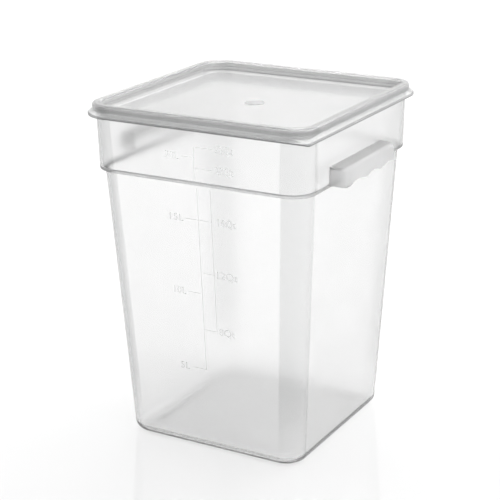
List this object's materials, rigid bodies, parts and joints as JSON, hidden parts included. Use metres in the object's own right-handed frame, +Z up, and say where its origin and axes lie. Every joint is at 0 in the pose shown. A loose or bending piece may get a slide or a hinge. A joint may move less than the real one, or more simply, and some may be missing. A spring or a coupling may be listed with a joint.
{
  "type": "food storage container",
  "caption": "Tall square translucent food storage container with a stepped collar, pull handles, a graduated front and a press-on lid with a sunk stacking panel.",
  "frame": {"origin": "middle of the base, at the height of what the container stands on", "axes": "+Z up, -Y out of the face with the graduation, +X out of the wall with the handle that stands off centre towards the graduation, beside the lid's pull tab"},
  "size_m": [0.3196, 0.2952, 0.406],
  "materials": {
    "container_plastic": "natural translucent polypropylene, satin outside",
    "lid_plastic": "natural translucent polypropylene, fine satin panel"
  },
  "bodies": {
    "container": {"container": "container_plastic"},
    "lid": {"lid": "lid_plastic"}
  },
  "joints": [
    {"name": "lid_lift", "type": "slide", "parent": "container", "child": "lid", "axis": [0, 0, 1], "range_m": [0, 0.15]}
  ]
}
